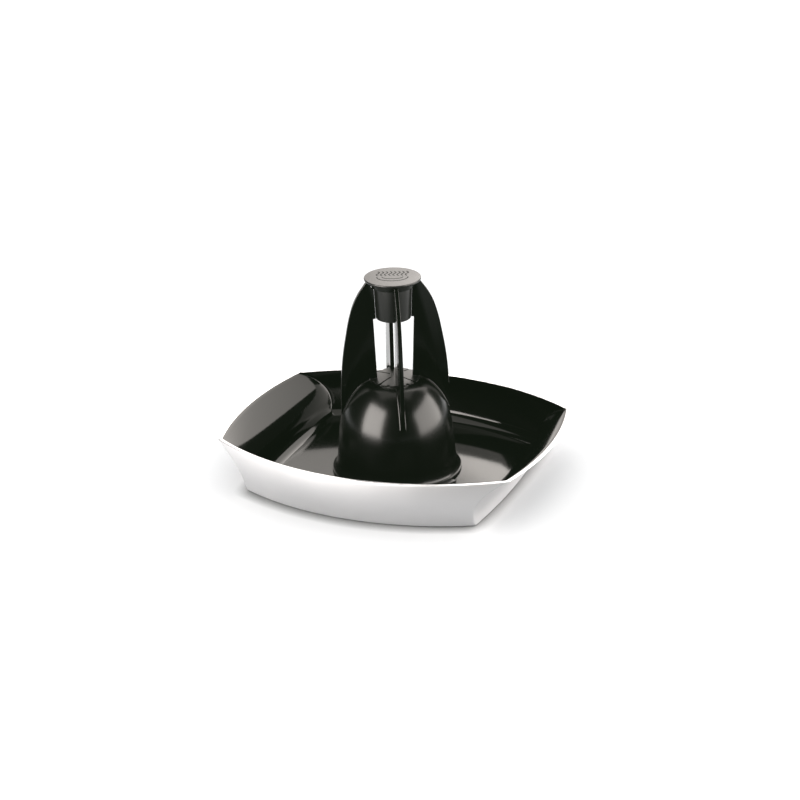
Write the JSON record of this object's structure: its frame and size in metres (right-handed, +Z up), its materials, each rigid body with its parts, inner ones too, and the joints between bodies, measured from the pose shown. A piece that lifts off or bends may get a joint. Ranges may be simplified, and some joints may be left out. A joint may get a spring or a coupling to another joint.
{
  "type": "vertical infusion roaster",
  "caption": "Pillow-shaped roasting pan with a black steam bell, upright crossed fins, and a stopper with a wide round cap, for roasting a bird upright over liquid",
  "frame": {"origin": "middle of the pan's flat underside, on the surface it stands on", "axes": "+X along the pan's long side, +Z up, -Y towards the front"},
  "size_m": [0.3294, 0.2782, 0.204],
  "materials": {
    "cast_aluminium": "satin cast outside, polished rim",
    "non_stick": "glossy black non-stick coating with a fine orange peel",
    "stopper_black": "satin black anodised",
    "pressed_steel": "brushed",
    "seal_silicone": "matte"
  },
  "bodies": {
    "pan": {"roasting_pan": "cast_aluminium"},
    "cup": {"liquid_cup": "pressed_steel"},
    "infuser": {"infuser_dome": "non_stick", "vent_crown": "non_stick", "fin_front": "non_stick", "fin_right": "non_stick", "fin_rear": "non_stick", "fin_left": "non_stick", "stopper_collar": "non_stick"},
    "stopper": {"stopper_body": "stopper_black", "stopper_cap": "stopper_black", "stopper_washer": "seal_silicone", "stopper_screw": "pressed_steel"}
  },
  "joints": [
    {"name": "infuser_lift", "type": "slide", "parent": "pan", "child": "infuser", "axis": [0, 0, 1], "range_m": [0, 0.12]},
    {"name": "stopper_lift", "type": "slide", "parent": "infuser", "child": "stopper", "axis": [0, 0, 1], "range_m": [0, 0.06]},
    {"name": "cup_lift", "type": "slide", "parent": "pan", "child": "cup", "axis": [0, 0, 1], "range_m": [0, 0.02]}
  ]
}
